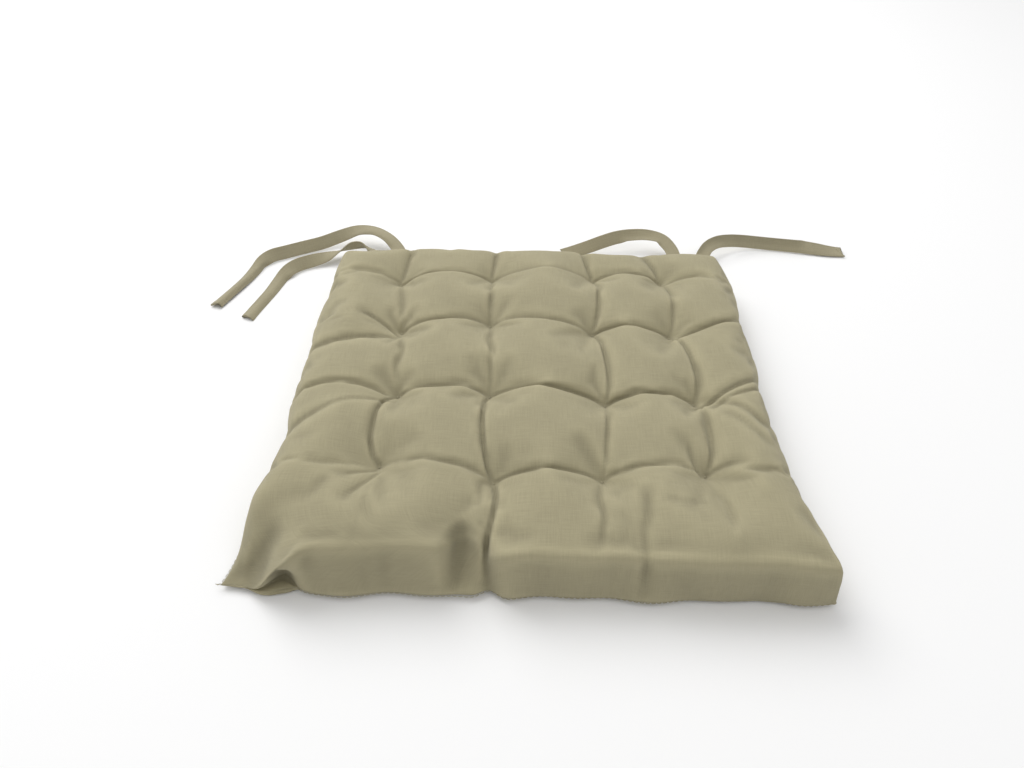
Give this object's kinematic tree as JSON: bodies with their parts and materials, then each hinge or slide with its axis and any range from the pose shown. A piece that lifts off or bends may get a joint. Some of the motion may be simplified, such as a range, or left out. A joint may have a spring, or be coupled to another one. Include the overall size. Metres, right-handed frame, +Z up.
{
  "type": "chair seat pad",
  "caption": "Square tufted cotton chair seat pad with a soft filling and tie tapes at its back corners.",
  "frame": {"origin": "on the flat underside, in the middle of the pad, where it rests on the seat", "axes": "+Z up through the pad, +Y towards the back edge with the ties, +X to the right as seen from the front"},
  "size_m": [0.6946, 0.4704, 0.048],
  "materials": {
    "cover": "plain-weave cotton, matt, khaki beige",
    "filling": "loose white polyester fibre",
    "thread": "spun sewing thread, the cover's colour",
    "tape": "folded and edge-stitched cotton, the cover's colour"
  },
  "bodies": {
    "pad": {"cover_top": "cover", "cover_bottom": "cover", "filling": "filling", "perimeter_seam_thread": "thread", "closing_stitch": "thread", "tuft_thread_r1c1": "thread", "tuft_thread_r1c2": "thread", "tuft_thread_r1c3": "thread", "tuft_thread_r1c4": "thread", "tuft_thread_r2c1": "thread", "tuft_thread_r2c2": "thread", "tuft_thread_r2c3": "thread", "tuft_thread_r2c4": "thread", "tuft_thread_r3c1": "thread", "tuft_thread_r3c2": "thread", "tuft_thread_r3c3": "thread", "tuft_thread_r3c4": "thread", "tuft_thread_r4c1": "thread", "tuft_thread_r4c2": "thread", "tuft_thread_r4c3": "thread", "tuft_thread_r4c4": "thread", "tie_left_outer_root": "tape", "tie_left_inner_root": "tape", "tie_right_outer_root": "tape", "tie_right_inner_root": "tape"},
    "left_outer_tie": {"tie_left_outer": "tape"},
    "left_inner_tie": {"tie_left_inner": "tape"},
    "right_outer_tie": {"tie_right_outer": "tape"},
    "right_inner_tie": {"tie_right_inner": "tape"}
  },
  "joints": [
    {"name": "left_outer_tie_fold", "type": "hinge", "parent": "pad", "child": "left_outer_tie", "pos_m": [-0.138, 0.2, 0.006], "axis": [0, 1, 0], "range_deg": [0, 80]},
    {"name": "left_inner_tie_fold", "type": "hinge", "parent": "pad", "child": "left_inner_tie", "pos_m": [-0.168, 0.2, 0.006], "axis": [0, 1, 0], "range_deg": [0, 80]},
    {"name": "right_outer_tie_fold", "type": "hinge", "parent": "pad", "child": "right_outer_tie", "pos_m": [0.19, 0.2, 0.006], "axis": [0, -1, 0], "range_deg": [0, 80]},
    {"name": "right_inner_tie_fold", "type": "hinge", "parent": "pad", "child": "right_inner_tie", "pos_m": [0.164, 0.2, 0.006], "axis": [0, 1, 0], "range_deg": [0, 80]}
  ]
}
